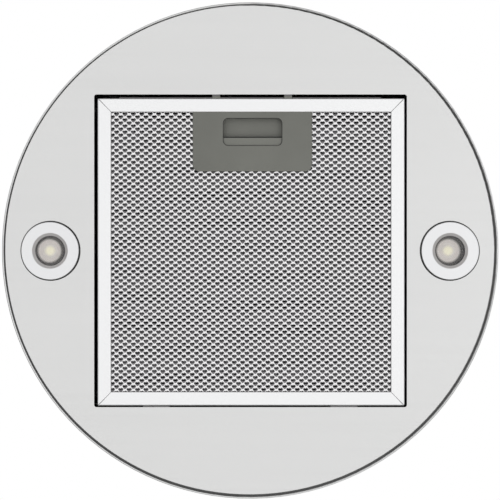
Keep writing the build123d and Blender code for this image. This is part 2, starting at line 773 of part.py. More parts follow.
# ---------------------------------------------------------------- latch

# Handle plate with a finger window, and the pocket box behind the window
with BuildPart() as handle_plate:
    with BuildSketch(Plane.XY.offset(HANDLE_Z)) as outline:
        with Locations((HANDLE_X, HANDLE_Y)):
            Rectangle(*HANDLE_SIZE)
        fillet(outline.vertices().group_by(Axis.Y)[-1], radius=5)
    extrude(amount=HANDLE_T)
    fillet(handle_plate.faces().sort_by(Axis.Z)[0].edges(), radius=0.5)
    pocket_x = (WINDOW_X - WINDOW[0] / 2, WINDOW_X + WINDOW[0] / 2)
    block((pocket_x[0] - POCKET_WALL, pocket_x[1] + POCKET_WALL),
          (WINDOW_FRONT - POCKET_WALL, POCKET_REAR + POCKET_WALL), (HANDLE_TOP, POCKET_TOP))
    block(pocket_x, (WINDOW_FRONT, POCKET_REAR), (HANDLE_TOP, POCKET_TOP - POCKET_WALL), Mode.SUBTRACT)
    with BuildSketch(Plane.XY.offset(HANDLE_Z)):
        with Locations((WINDOW_X, WINDOW_Y)):
            RectangleRounded(*WINDOW, 4)
    extrude(amount=HANDLE_T, mode=Mode.SUBTRACT)
    block((pocket_x[0] - 2, pocket_x[1] + 2), (LIP_FRONT - 0.4, WINDOW_REAR + LATCH_TRAVEL + 0.4),
          (HANDLE_TOP, SLIDER_Z + SLIDER_T + 0.3), Mode.SUBTRACT)
save(handle_plate, "handle_plate")

# Slider: a cross bar seen in the window, a wall for the finger, and two arms with tongues
with BuildPart() as latch_slider:
    low, high = TONGUE_XS[0] - TONGUE_WIDTH / 2, TONGUE_XS[1] + TONGUE_WIDTH / 2
    slider_z = (SLIDER_Z, SLIDER_Z + SLIDER_T)
    block((low, high), (LIP_FRONT, WINDOW_REAR), slider_z)
    block((WINDOW_X - 21.8, WINDOW_X + 21.8), (LIP_FRONT, LIP_FRONT + 1.6), (SLIDER_Z, POCKET_TOP - 2.5))
    for x in TONGUE_XS:
        block((x - TONGUE_WIDTH / 2, x + TONGUE_WIDTH / 2), (TONGUE_TIP, WINDOW_REAR), slider_z)
save(latch_slider, "latch_slider")

SPRING_R, SPRING_WIRE = 1.5, 0.3
SPRING_LENGTH = POCKET_REAR - WINDOW_REAR
with BuildPart() as latch_springs:
    for x in (WINDOW_X - 14, WINDOW_X + 14):
        start = Vector(x, WINDOW_REAR + SPRING_WIRE, SLIDER_Z + SPRING_R + SPRING_WIRE)
        coil = Helix(
            1.2, SPRING_LENGTH - 2 * SPRING_WIRE, SPRING_R,
            center=start, direction=(0, 1, 0), mode=Mode.PRIVATE,
        )
        with BuildSketch(Plane(coil @ 0, z_dir=coil % 0)):
            Circle(SPRING_WIRE)
        sweep(path=coil, is_frenet=True)
save(latch_springs, "latch_springs")

# Leaf clips on the plate's front edge that the tongues rest on
with BuildPart() as latch_keepers:
    for x in TONGUE_XS:
        block((x - 2.6, x + 2.6), (OPENING_FRONT - 8, OPENING_FRONT + 0.3), (PLATE_TOP, PLATE_TOP + 0.4))
        block((x - 2.6, x + 2.6), (OPENING_FRONT, OPENING_FRONT + 0.3), (PLATE_TOP - 0.5, PLATE_TOP + 0.4))
        block((x - 2.6, x + 2.6), (OPENING_FRONT, OPENING_FRONT + 1.1), (PLATE_TOP - 0.5, PLATE_TOP - 0.1))
save(latch_keepers, "latch_keepers")
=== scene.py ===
"""Looks of the island range hood: materials, the filter's expanded mesh, seals, lamp rings and a studio."""
import bpy
import math
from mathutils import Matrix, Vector


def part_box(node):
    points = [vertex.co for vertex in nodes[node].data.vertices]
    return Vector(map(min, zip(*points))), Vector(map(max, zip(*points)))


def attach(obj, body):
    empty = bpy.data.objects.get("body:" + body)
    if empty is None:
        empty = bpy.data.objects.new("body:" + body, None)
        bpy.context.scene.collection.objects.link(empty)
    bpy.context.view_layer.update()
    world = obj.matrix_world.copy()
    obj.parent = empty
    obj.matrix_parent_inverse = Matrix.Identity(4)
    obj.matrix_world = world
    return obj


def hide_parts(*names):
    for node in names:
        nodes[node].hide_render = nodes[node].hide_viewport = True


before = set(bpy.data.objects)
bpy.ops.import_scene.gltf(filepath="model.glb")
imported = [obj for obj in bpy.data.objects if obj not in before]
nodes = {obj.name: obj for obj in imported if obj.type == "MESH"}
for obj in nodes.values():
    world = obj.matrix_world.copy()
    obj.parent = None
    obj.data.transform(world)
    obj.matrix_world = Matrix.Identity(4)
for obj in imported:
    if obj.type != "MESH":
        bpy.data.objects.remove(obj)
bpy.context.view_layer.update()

MM = 0.001

# Expanded mesh of the filter: one diamond, and how far the sheet stays clear of its box and laps the handle
PITCH_X, PITCH_Y = 6.27 * MM, 4.52 * MM
MESH_MARGIN_X, MESH_MARGIN_Y = 3.4 * MM, 2.5 * MM
HANDLE_LAP = 4 * MM
CORE_FRONT_DEPTH, CORE_BACK_DEPTH = 2.2 * MM, 4.4 * MM

# Finger window in the handle, and the slider's wall behind it with a black strip of painted shadow
WINDOW_Y = -88.4 * MM
WINDOW_HALF_X, WINDOW_HALF_Y = 22.15 * MM, 10.4 * MM
WINDOW_CORNER = 4 * MM
CORNER_STEPS = 8
SLIDER_WALL_FRONT = -84.0 * MM
WALL_SHADOW_THICKNESS = 0.9 * MM
WALL_SHADOW_HALF_WIDTH = 21.6 * MM

# Folded edges of the filter frame, the dark strip of painted shadow along their inner edges, and the mitre
# joints
FRAME_EDGE_SOFTNESS = 0.22 * MM
EDGE_SHADOW_WIDTH = 0.45 * MM
EDGE_SHADOW_LOW, EDGE_SHADOW_HIGH = 0.3 * MM, 0.78 * MM
MITRE_HALF_WIDTH = 0.2 * MM
MITRE_STOP = 1.3 * MM

# Joint between the underside plate and the hem of the shell, and the dark grey ring of painted shade in it
HEM_WIDTH = 1.5 * MM
RIM_SHADE_LOW, RIM_SHADE_HIGH = 0.9 * MM, 4 * MM
RIM_SHADE_SIDES = 180

# Lamps: radii between which the chip and the cup change colour, the cup's outer colour a painted shade, and
# the shift towards the middle of the black ring of painted shadow round each bezel
CHIP_RADII = (2.2 * MM, 4.6 * MM)
CUP_RADII = (7.8 * MM, 9.4 * MM)
BEZEL_SHADOW_SHIFT = 0.34 * MM
TURNED_SIDES = 96

# Studio: width of the view, the camera's place beside the hood's axis, the floor in metres, and the light
# that reaches the hood from every side
VIEW_WIDTH = 372.5 * MM
CAMERA_X, CAMERA_Y = -0.1 * MM, -0.4 * MM
FLOOR_HEIGHT = -6.6
FLOOR_REACH = 3.2
SURROUNDING_LIGHT = 0.26


# ---------------------------------------------------------------- node helpers

class Shader:
    """A material's node tree with a Principled shader at its end."""

    def __init__(self, name, color, metallic=0.0, roughness=0.5):
        self.material = bpy.data.materials.new(name)
        self.material.use_nodes = True
        self.tree = self.material.node_tree
        self.principled = self.tree.nodes["Principled BSDF"]
        self.set("Base Color", (*color, 1))
        self.set("Metallic", metallic)
        self.set("Roughness", roughness)
        self.place = self.add("ShaderNodeTexCoord").outputs["Object"]

    def add(self, kind, **values):
        node = self.tree.nodes.new(kind)
        for key, value in values.items():
            setattr(node, key, value)
        return node

    def link(self, out, socket):
        self.tree.links.new(out, socket)

    def set(self, socket, value):
        self.principled.inputs[socket].default_value = value

    def feed(self, out, socket):
        self.link(out, self.principled.inputs[socket])

    def stretched(self, scale):
        """The object's coordinates, scaled by a vector, in cycles per metre."""
        mapping = self.add("ShaderNodeMapping")
        mapping.inputs["Scale"].default_value = scale
        self.link(self.place, mapping.inputs["Vector"])
        return mapping.outputs["Vector"]

    def noise(self, scale, detail=3.0, roughness=0.5):
        """Noise from 0 to 1; scale is a number, or a vector for a grain."""
        vector = self.place
        if not isinstance(scale, (int, float)):
            vector, scale = self.stretched(scale), 1.0
        node = self.add("ShaderNodeTexNoise")
        node.inputs["Scale"].default_value = scale
        node.inputs["Detail"].default_value = detail
        node.inputs["Roughness"].default_value = roughness
        self.link(vector, node.inputs["Vector"])
        return node.outputs["Fac"]

    def remap(self, value, low, high, start=0.3, end=0.7):
        """value between start and end, stretched to between low and high."""
        node = self.add("ShaderNodeMapRange")
        for socket, number in (("From Min", start), ("From Max", end), ("To Min", low), ("To Max", high)):
            node.inputs[socket].default_value = number
        self.link(value, node.inputs["Value"])
        return node.outputs["Result"]

    def distance(self, x, y):
        """Distance in metres from the vertical line through x, y."""
        node = self.add("ShaderNodeVectorMath", operation="DISTANCE")
        self.link(self.stretched((1, 1, 0)), node.inputs[0])
        node.inputs[1].default_value = (x, y, 0)
        return node.outputs["Value"]

    def blend(self, factor, first, second):
        """Colour between first and second; each is a colour or another node's output."""
        node = self.add("ShaderNodeMix", data_type="RGBA")
        for socket, color in ((node.inputs[6], first), (node.inputs[7], second)):
            if isinstance(color, tuple):
                socket.default_value = (*color, 1)
            else:
                self.link(color, socket)
        self.link(factor, node.inputs[0])
        return node.outputs[2]

    def bump(self, height, strength, depth):
        node = self.add("ShaderNodeBump")
        node.inputs["Strength"].default_value = strength
        node.inputs["Distance"].default_value = depth
        self.link(height, node.inputs["Height"])
        self.feed(node.outputs["Normal"], "Normal")


def shade(color, factor):
    return tuple(channel * factor for channel in color)


# ---------------------------------------------------------------- materials

def brushed_steel(name, color, grain, roughness=0.3):
    """Satin stainless sheet; grain is cycles per metre along x, y and z."""
    steel = Shader(name, color, 1.0, roughness)
    fine = steel.noise(grain, 4.0, 0.65)
    cloud = steel.noise(9.0, 2.0)
    tone = steel.blend(steel.remap(fine, 0, 1), shade(color, 0.985), shade(color, 1.01))
    steel.feed(steel.blend(steel.remap(cloud, 0, 0.5), tone, shade(color, 0.985)), "Base Color")
    steel.feed(steel.remap(fine, roughness - 0.05, roughness + 0.07), "Roughness")
    steel.bump(fine, 0.12, 0.00006)
    return steel.material


def galvanized(name, color):
    """Zinc-coated sheet with its spangle."""
    zinc = Shader(name, color, 1.0, 0.42)
    cells = zinc.add("ShaderNodeTexVoronoi")
    cells.inputs["Scale"].default_value = 75.0
    zinc.link(zinc.place, cells.inputs["Vector"])
    spangle = zinc.add("ShaderNodeSeparateColor")
    zinc.link(cells.outputs["Color"], spangle.inputs["Color"])
    tone = zinc.blend(spangle.outputs["Red"], shade(color, 0.82), shade(color, 1.08))
    streak = zinc.noise(30.0, 3.0)
    zinc.feed(zinc.blend(zinc.remap(streak, 0, 0.35), tone, shade(color, 0.8)), "Base Color")
    zinc.feed(zinc.remap(spangle.outputs["Green"], 0.34, 0.5, 0, 1), "Roughness")
    return zinc.material


def fine_metal(name, color, roughness, grain=900.0, variation=0.04):
    """Plain metal with a fine grain in tone and gloss."""
    metal = Shader(name, color, 1.0, roughness)
    fine = metal.noise(grain, 3.0)
    tone = metal.blend(metal.remap(fine, 0, 1), shade(color, 1 - variation), shade(color, 1 + variation / 2))
    metal.feed(tone, "Base Color")
    metal.feed(metal.remap(fine, roughness - 0.05, roughness + 0.06), "Roughness")
    metal.bump(fine, 0.08, 0.00003)
    return metal.material


def moulded_plastic(name, color, roughness=0.45):
    """Plastic with a fine spark-eroded surface and a faint drift in tone."""
    plastic = Shader(name, color, 0.0, roughness)
    fine = plastic.noise(2200.0, 2.0)
    drift = plastic.noise(28.0, 2.0)
    tone = plastic.blend(plastic.remap(drift, 0, 1), shade(color, 0.93), shade(color, 1.05))
    plastic.feed(tone, "Base Color")
    plastic.feed(plastic.remap(fine, roughness - 0.06, roughness + 0.08), "Roughness")
    plastic.bump(fine, 0.25, 0.00004)
    return plastic.material


def enamel(name, color):
    """Sprayed paint with a slight orange peel."""
    roughness = 0.35
    paint = Shader(name, color, 0.0, roughness)
    peel = paint.noise(500.0, 2.0)
    dust = paint.noise(60.0, 4.0)
    paint.feed(paint.blend(paint.remap(dust, 0, 1), shade(color, 0.85), shade(color, 1.2)), "Base Color")
    paint.feed(paint.remap(dust, roughness - 0.05, roughness + 0.15), "Roughness")
    paint.bump(peel, 0.2, 0.00008)
    return paint.material


def clear_lens(name):
    """Thin clear cover; light passes straight through it."""
    lens = Shader(name, (0.97, 0.97, 0.97), 0.0, 0.06)
    haze = lens.noise(120.0, 2.0)
    lens.feed(lens.remap(haze, 0.04, 0.1), "Roughness")
    lens.set("Alpha", 0.05)
    lens.set("IOR", 1.49)
    lens.material.surface_render_method = "BLENDED"
    return lens.material


def lamp_inside(name, centre, radii, inner, outer, glow):
    """Milky plastic round a lamp's axis that changes colour between two radii and glows a little; on the
    reflector the outer colour is painted shade and the glow is painted light.
    """
    cup = Shader(name, inner, 0.0, 0.4)
    grains = cup.noise(900.0, 2.0)
    reach = cup.remap(cup.distance(centre.x, centre.y), 0, 1, *radii)
    soft = cup.blend(cup.remap(grains, 0, 1), shade(inner, 0.97), shade(inner, 1.03))
    tone = cup.blend(reach, soft, outer)
    cup.feed(tone, "Base Color")
    cup.feed(tone, "Emission Color")
    cup.set("Emission Strength", glow)
    return cup.material


def circuit_board(name):
    """Green solder mask over copper tracks."""
    board = Shader(name, (0.02, 0.11, 0.045), 0.0, 0.3)
    tracks = board.add("ShaderNodeTexBrick")
    tracks.inputs["Scale"].default_value = 160.0
    tracks.inputs["Mortar Size"].default_value = 0.06
    tracks.inputs["Color1"].default_value = (0.02, 0.11, 0.045, 1)
    tracks.inputs["Color2"].default_value = (0.025, 0.13, 0.05, 1)
    tracks.inputs["Mortar"].default_value = (0.07, 0.24, 0.09, 1)
    board.link(board.place, tracks.inputs["Vector"])
    board.feed(tracks.outputs["Color"], "Base Color")
    return board.material


STEEL = (0.716, 0.717, 0.715)
ZINC = (0.55, 0.57, 0.585)
PLASTIC = (0.218, 0.221, 0.196)
CHIP_YELLOW, CHIP_BASE = (0.962, 0.925, 0.73), (0.67, 0.638, 0.6)
# the reflector's dark outer colour is painted shade of its rim
CUP_PALE, CUP_RIM_SHADE = (0.81, 0.77, 0.755), (0.03, 0.026, 0.03)

finish = {
    "underside": brushed_steel("satin steel underside", STEEL, (5, 1300, 1300), 0.36),
    "shell": brushed_steel("satin steel shell", STEEL, (7, 7, 1500), 0.3),
    "zinc_sheet": galvanized("galvanized sheet", ZINC),
    "zinc_part": fine_metal("bright zinc", (0.66, 0.67, 0.69), 0.28),
    # dark spring steel; the same colour also paints the shadow along the frame's inner edges
    "spring": fine_metal("dark spring steel", (0.16, 0.155, 0.16), 0.4),
    "wheel": galvanized("wheel sheet", (0.48, 0.5, 0.52)),
    "frame": fine_metal("drawn aluminium frame", (0.872, 0.874, 0.882), 0.34, 1800.0, 0.012),
    "mesh": fine_metal("expanded aluminium", (0.88, 0.872, 0.88), 0.3, 1400.0, 0.05),
    # painted shade: the sloping walls of the mesh's holes are coloured dark grey in place of their shading;
    # the frame's mitre joints share this dark grey
    "hole_shade_and_joint_dark": fine_metal("painted shade in mesh holes and dark mitre joints", (0.29, 0.28, 0.29), 0.5, 1400.0, 0.1),
    # painted shade: the core's aluminium layers are coloured dark, the deepest near black, for the shade
    # behind the face mesh
    "inner_mesh_painted_shade": fine_metal("inner mesh layers in painted shade", (0.18, 0.176, 0.184), 0.5, 1400.0, 0.1),
    "deep_mesh_painted_shade": fine_metal("deepest mesh layer in painted shade", (0.05, 0.05, 0.052), 0.5, 1400.0, 0.1),
    "heatsink": fine_metal("extruded aluminium", (0.5, 0.51, 0.53), 0.45),
    "handle": moulded_plastic("grey handle plastic", PLASTIC),
    "latch": moulded_plastic("grey latch plastic", shade(PLASTIC, 1.12)),
    "black": moulded_plastic("black plastic", (0.02, 0.02, 0.022), 0.4),
    "white": moulded_plastic("white plastic", (0.72, 0.72, 0.7), 0.4),
    "trim": fine_metal("satin lamp trim", (0.81, 0.812, 0.822), 0.36, 1600.0, 0.02),
    "lamp_ring": moulded_plastic("pale lamp ring", (0.66, 0.64, 0.635), 0.3),
    "lens": clear_lens("lamp cover"),
    "board": circuit_board("circuit board"),
    "motor": enamel("motor enamel", (0.028, 0.028, 0.03)),
    "button": moulded_plastic("metallised button", (0.5, 0.5, 0.505), 0.3),
    # painted shadow: black for the finger window's edge, the slider's crevice and the ring round each lamp
    # bezel
    "painted_shadow_black": moulded_plastic("black painted shadow", (0.012, 0.012, 0.012), 0.6),
    "rim_joint_shade": moulded_plastic("grey painted shade in the rim joint", (0.09, 0.09, 0.09), 0.6),
}

for side in ("left", "right"):
    low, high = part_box(f"{side}_lamp_led")
    middle = (low + high) / 2
    finish[f"{side}_led"] = lamp_inside(f"{side} led board", middle, CHIP_RADII, CHIP_YELLOW, CHIP_BASE, 0.2)
    # painted shade and light: the reflector darkens towards its rim for the rim's shadow, and glows with
    # painted light from the lamp
    finish[f"{side}_cup"] = lamp_inside(f"{side} lamp reflector", middle, CUP_RADII, CUP_PALE, CUP_RIM_SHADE, 0.12)

NODE_FINISH = {
    "left_led": ["left_lamp_led"],
    "right_led": ["right_lamp_led"],
    "left_cup": ["left_lamp_reflector"],
    "right_cup": ["right_lamp_reflector"],
    "underside": ["bottom_plate"],
    "shell": ["lower_shell", "upper_shell"],
    "zinc_sheet": [
        "ceiling_plate", "suction_casing", "chassis_plate", "upper_legs", "lower_legs", "shell_brackets",
        "scroll_left", "scroll_right", "outlet_duct", "blower_straps", "motor_bracket",
    ],
    "zinc_part": ["shell_screws", "leg_bolts", "motor_shaft", "damper_pin"],
    "spring": ["latch_keepers", "latch_springs", "lamp_clips", "rear_tabs", "edge_strip"],
    "wheel": ["fan_wheel", "damper_flap_front", "damper_flap_rear"],
    "frame": ["frame_bar_front", "frame_bar_rear", "frame_bar_left", "frame_bar_right", "corner_plates"],
    "mesh": ["face_mesh", "back_mesh"],
    "inner_mesh_painted_shade": ["filter_core"],
    "heatsink": ["left_lamp_heatsink", "right_lamp_heatsink"],
    "handle": ["handle_plate"],
    "latch": ["latch_slider"],
    "black": ["control_housing", "exhaust_spigot", "cable_gland", "terminal_box", "terminal_lid"],
    "white": ["led_driver", "capacitor"],
    "trim": ["left_lamp_bezel", "right_lamp_bezel"],
    "lens": ["left_lamp_lens", "right_lamp_lens"],
    "board": ["control_board"],
    "motor": ["motor"],
    "button": ["button_off", "button_speed_low", "button_speed_mid", "button_speed_high", "button_light"],
}


def smooth(obj, angle=32.0):
    """Smooth shading, with edges sharper than the angle in degrees left sharp."""
    obj.data.polygons.foreach_set("use_smooth", [True] * len(obj.data.polygons))
    obj.data.set_sharp_from_angle(angle=math.radians(angle))


def soften(obj, width):
    """A narrow rounded edge, so that edges catch the light."""
    bevel = obj.modifiers.new("soft edge", "BEVEL")
    bevel.width = width
    bevel.segments = 2
    bevel.limit_method = "ANGLE"
    bevel.angle_limit = math.radians(40)


for key, names in NODE_FINISH.items():
    for name in names:
        nodes[name].material_slots[0].material = finish[key]
        smooth(nodes[name])


# ---------------------------------------------------------------- new pieces

def piece(name, points, faces, materials, body, smooth_angle=32.0, chosen=None):
    """A mesh object from points and faces that rides on a body; chosen gives each face's material."""
    mesh = bpy.data.meshes.new(name)
    mesh.from_pydata(points, [], faces)
    for material in materials:
        mesh.materials.append(finish[material])
    if chosen:
        mesh.polygons.foreach_set("material_index", chosen)
    obj = bpy.data.objects.new(name, mesh)
    bpy.context.scene.collection.objects.link(obj)
    smooth(obj, smooth_angle)
    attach(obj, body)
    return obj


def half_ring(points):
    """A whole ring from the points of its right-hand half, listed from the front round to the rear."""
    return points + [(-u, v, w) for u, v, w in reversed(points[1:-1])]


# Rings of one diamond of the expanded sheet, from its edge to its hole, in millimetres to the right,
# to the front and upwards
FACE_RINGS = [
    half_ring([(0, 2.26, 0), (1.045, 1.507, 0.05), (2.09, 0.753, 0.05), (3.135, 0, 0),
               (2.09, -0.753, 0.05), (1.045, -1.507, 0.05), (0, -2.26, 0)]),
    half_ring([(0, 1.08, 0.2), (0.85, 1.2, 0.22), (1.6, 0.98, 0.2), (1.98, 0.42, 0.12),
               (1.52, -0.48, 0.2), (0.78, -1.32, 0.2), (0, -1.82, 0.12)]),
    half_ring([(0, 1.04, 0.7), (0.82, 1.18, 0.7), (1.5, 0.96, 0.7), (1.72, 0.5, 0.7),
               (1.25, 0.05, 0.62), (0.62, -0.26, 0.56), (0, -0.36, 0.54)]),
]
INNER_RINGS = [
    half_ring([(0, 2.26, 0), (1.57, 1.13, 0), (3.135, 0, 0), (1.57, -1.13, 0), (0, -2.26, 0)]),
    half_ring([(0, 1.4, 0), (1.3, 0.95, 0.1), (2.1, 0, 0.2), (1.3, -0.95, 0.1), (0, -1.4, 0)]),
]


def expanded_sheet(name, rings, depth, materials, node, pitch=(PITCH_X, PITCH_Y), lean=0.0, outward=1):
    """Diamond mesh over the filter's face, left out where the handle is.

    depth is the height above the filter frame's lower face and lean the turn of the rows in radians; outward
    is 1 when the strands' ridges face down and -1 when they face up. Each band between two rings takes the
    next of the materials, and further bands take the last.
    """
    low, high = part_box("face_mesh")
    centre = (low + high) / 2
    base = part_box("frame_bar_front")[0].z
    reach_x, reach_y = (high.x - low.x) / 2 - MESH_MARGIN_X, (high.y - low.y) / 2 - MESH_MARGIN_Y
    handle_low, handle_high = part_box("handle_plate")
    columns, rows = int(reach_x / pitch[0] * 2) + 1, int(reach_y / pitch[1] * 2) + 1
    points, index, faces, chosen = [], {}, [], []

    def vertex(x, y, z):
        """Number of the point at x, y, z; neighbouring diamonds share their points."""
        key = (round(x / MM, 2), round(y / MM, 2), round(z / MM, 2))
        if key not in index:
            index[key] = len(points)
            points.append((x, y, z))
        return index[key]

    for row in range(-rows, rows + 1):
        for column in range(-columns, columns + 1):
            if (row + column) % 2:
                continue
            across, along = column * pitch[0] / 2, (row + 0.5) * pitch[1] / 2
            x = centre.x + across * math.cos(lean) - along * math.sin(lean)
            y = centre.y + along * math.cos(lean) + across * math.sin(lean)
            if abs(x - centre.x) > reach_x or abs(y - centre.y) > reach_y:
                continue
            if handle_low.x + HANDLE_LAP < x < handle_high.x - HANDLE_LAP and y < handle_high.y - HANDLE_LAP:
                continue
            loops = [
                [vertex(x + u * MM * pitch[0] / PITCH_X, y - v * MM * pitch[1] / PITCH_Y,
                        base + depth + outward * w * MM) for u, v, w in ring]
                for ring in rings
            ]
            for band, (outer, inner) in enumerate(zip(loops, loops[1:])):
                for step in range(len(outer)):
                    after = (step + 1) % len(outer)
                    faces.append((outer[step], outer[after], inner[after], inner[step])[::outward])
                    chosen.append(min(band, len(materials) - 1))
    sheet = piece(name, points, faces, materials, "grease_filter", 50, chosen)
    if node:
        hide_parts(node)


face_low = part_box("face_mesh")[0].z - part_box("frame_bar_front")[0].z
back_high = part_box("back_mesh")[1].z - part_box("frame_bar_front")[0].z
# the face mesh's inner bands take the dark grey of painted shade
expanded_sheet("face_mesh_detail", FACE_RINGS, face_low, ["mesh", "hole_shade_and_joint_dark"], "face_mesh")
# The core's layers differ from the face in pitch and lean, so that they lie loose behind it; their aluminium
# is coloured dark grey and near black as painted shade behind the face
expanded_sheet("core_mesh_front", INNER_RINGS, face_low + CORE_FRONT_DEPTH, ["inner_mesh_painted_shade"], "filter_core",
               (PITCH_X * 1.03, PITCH_Y * 1.28), math.radians(0.8))
expanded_sheet("core_mesh_back", INNER_RINGS, face_low + CORE_BACK_DEPTH, ["deep_mesh_painted_shade"], None,
               (PITCH_X * 0.93, PITCH_Y * 0.9), math.radians(-3))
expanded_sheet("back_mesh_detail", INNER_RINGS, back_high, ["mesh"], "back_mesh", outward=-1)


def turned(name, centre, profile, material, body):
    """A ring turned about a vertical axis; profile is (radius, z) in metres, as a closed outline."""
    points, faces = [], []
    count = len(profile)
    for side in range(TURNED_SIDES):
        angle = 2 * math.pi * side / TURNED_SIDES
        for radius, z in profile:
            points.append((centre.x + radius * math.cos(angle), centre.y + radius * math.sin(angle), z))
    for side in range(TURNED_SIDES):
        for step in range(count):
            here, after = side * count, (side + 1) % TURNED_SIDES * count
            faces.append((here + step, after + step, after + (step + 1) % count, here + (step + 1) % count))
    piece(name, points, faces, [material], body)


def closed_bands(rows, count):
    """Faces between rows of count points each, where the last row meets the first."""
    faces = []
    for row in range(rows):
        lower, upper = row * count, (row + 1) % rows * count
        for step in range(count):
            after = (step + 1) % count
            faces.append((lower + step, lower + after, upper + after, upper + step))
    return faces


def boxes(name, corners, material, body):
    """One piece made of plain boxes; corners is a list of (low, high) points."""
    points, faces = [], []
    for low, high in corners:
        start = len(points)
        points += [(x, y, z) for z in (low[2], high[2]) for y in (low[1], high[1]) for x in (low[0], high[0])]
        faces += [tuple(start + corner for corner in face) for face in (
            (0, 2, 3, 1), (4, 5, 7, 6), (0, 1, 5, 4), (2, 6, 7, 3), (0, 4, 6, 2), (1, 3, 7, 5))]
    piece(name, points, faces, [material], body)


def window_middle():
    """x of the finger window's middle, halfway between the latch springs."""
    low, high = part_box("latch_springs")
    return (low.x + high.x) / 2


def window_edge_shadow():
    """Thin black ring round the handle's finger window, with rounded corners: painted shadow along the
    window's edge.
    """
    handle_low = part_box("handle_plate")[0]
    centre = Vector((window_middle(), WINDOW_Y))
    profile = [(0.05, 0.35), (-0.35, 0.5), (-0.35, 1.55), (0.05, 1.55)]  # millimetres outward and up
    points = []
    for grow, height in profile:
        for corner, (x_side, y_side) in enumerate(((1, 1), (-1, 1), (-1, -1), (1, -1))):
            middle = centre + Vector((x_side * (WINDOW_HALF_X - WINDOW_CORNER),
                                      y_side * (WINDOW_HALF_Y - WINDOW_CORNER)))
            for step in range(CORNER_STEPS + 1):
                angle = math.pi / 2 * (corner + step / CORNER_STEPS)
                radius = WINDOW_CORNER + grow * MM
                points.append((middle.x + radius * math.cos(angle), middle.y + radius * math.sin(angle),
                               handle_low.z + height * MM))
    faces = closed_bands(len(profile), len(points) // len(profile))
    piece("window_edge_shadow", points, faces, ["painted_shadow_black"], "grease_filter")


def slider_wall_shadow():
    """Black strip on the slider's wall, where the finger pulls: painted shadow in the crevice between the
    pocket and the slider.
    """
    low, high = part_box("latch_slider")
    middle = window_middle()
    boxes("slider_wall_shadow", [((middle - WALL_SHADOW_HALF_WIDTH, SLIDER_WALL_FRONT - WALL_SHADOW_THICKNESS, low.z + 0.2 * MM),
                           (middle + WALL_SHADOW_HALF_WIDTH, SLIDER_WALL_FRONT, high.z - 0.3 * MM))],
          "painted_shadow_black", "filter_latch")


def frame_opening():
    """Left, right, front and rear inner edge of the filter frame, and the height of its lower face."""
    left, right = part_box("frame_bar_left")[1].x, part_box("frame_bar_right")[0].x
    front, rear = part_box("frame_bar_front")[1].y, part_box("frame_bar_rear")[0].y
    return left, right, front, rear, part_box("frame_bar_front")[0].z


def frame_edge_shadow():
    """Dark strips along the inner edges of the folded frame bars, where they hold the mesh: painted shadow
    cast by the bars' lips.
    """
    left, right, front, rear, base = frame_opening()
    low, high, wide = base + EDGE_SHADOW_LOW, base + EDGE_SHADOW_HIGH, EDGE_SHADOW_WIDTH
    boxes("frame_edge_painted_shadow", [
        ((left, front, low), (left + wide, rear, high)),
        ((right - wide, front, low), (right, rear, high)),
        ((left + wide, front, low), (right - wide, front + wide, high)),
        ((left + wide, rear - wide, low), (right - wide, rear, high)),
    ], "spring", "grease_filter")


def mitre_joints():
    """Dark lines where the frame bars meet, from each inner corner towards the outer one."""
    left, right, front, rear, base = frame_opening()
    outer_low, outer_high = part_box("frame_bar_front")[0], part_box("frame_bar_rear")[1]
    corners = (
        ((left, front), (outer_low.x, outer_low.y)),
        ((right, front), (outer_high.x, outer_low.y)),
        ((left, rear), (outer_low.x, outer_high.y)),
        ((right, rear), (outer_high.x, outer_high.y)),
    )
    points, faces = [], []
    for inner, outer in corners:
        inner, outer = Vector(inner), Vector(outer)
        along = (outer - inner).normalized()
        side = Vector((-along.y, along.x)) * MITRE_HALF_WIDTH
        end = outer - MITRE_STOP * along
        outline = (inner - side, inner + side, end + side, end - side)
        start = len(points)
        for z in (base - 0.02 * MM, base + 0.2 * MM):
            points += [(place.x, place.y, z) for place in outline]
        faces += [tuple(start + corner for corner in face) for face in (
            (3, 2, 1, 0), (4, 5, 6, 7), (0, 1, 5, 4), (1, 2, 6, 5), (2, 3, 7, 6), (3, 0, 4, 7))]
    piece("mitre_joints", points, faces, ["hole_shade_and_joint_dark"], "grease_filter")


def rim_shade_ring():
    """Dark grey ring in the narrow joint between the underside plate and the shell: painted shade in the
    groove.
    """
    plate, plate_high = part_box("bottom_plate")
    shell, shell_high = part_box("lower_shell")
    inside = ((plate + plate_high) / 2, (plate_high.x - plate.x) / 2)
    outside = ((shell + shell_high) / 2, (shell_high.x - shell.x) / 2 - HEM_WIDTH)
    rings = ((inside, RIM_SHADE_LOW), (outside, RIM_SHADE_LOW), (outside, RIM_SHADE_HIGH), (inside, RIM_SHADE_HIGH))
    points = []
    for (middle, radius), height in rings:
        for side in range(RIM_SHADE_SIDES):
            angle = 2 * math.pi * side / RIM_SHADE_SIDES
            points.append((middle.x + radius * math.cos(angle), middle.y + radius * math.sin(angle),
                           plate.z + height))
    faces = closed_bands(len(rings), RIM_SHADE_SIDES)
    piece("rim_shade_ring", points, faces, ["rim_joint_shade"], "hood_body")


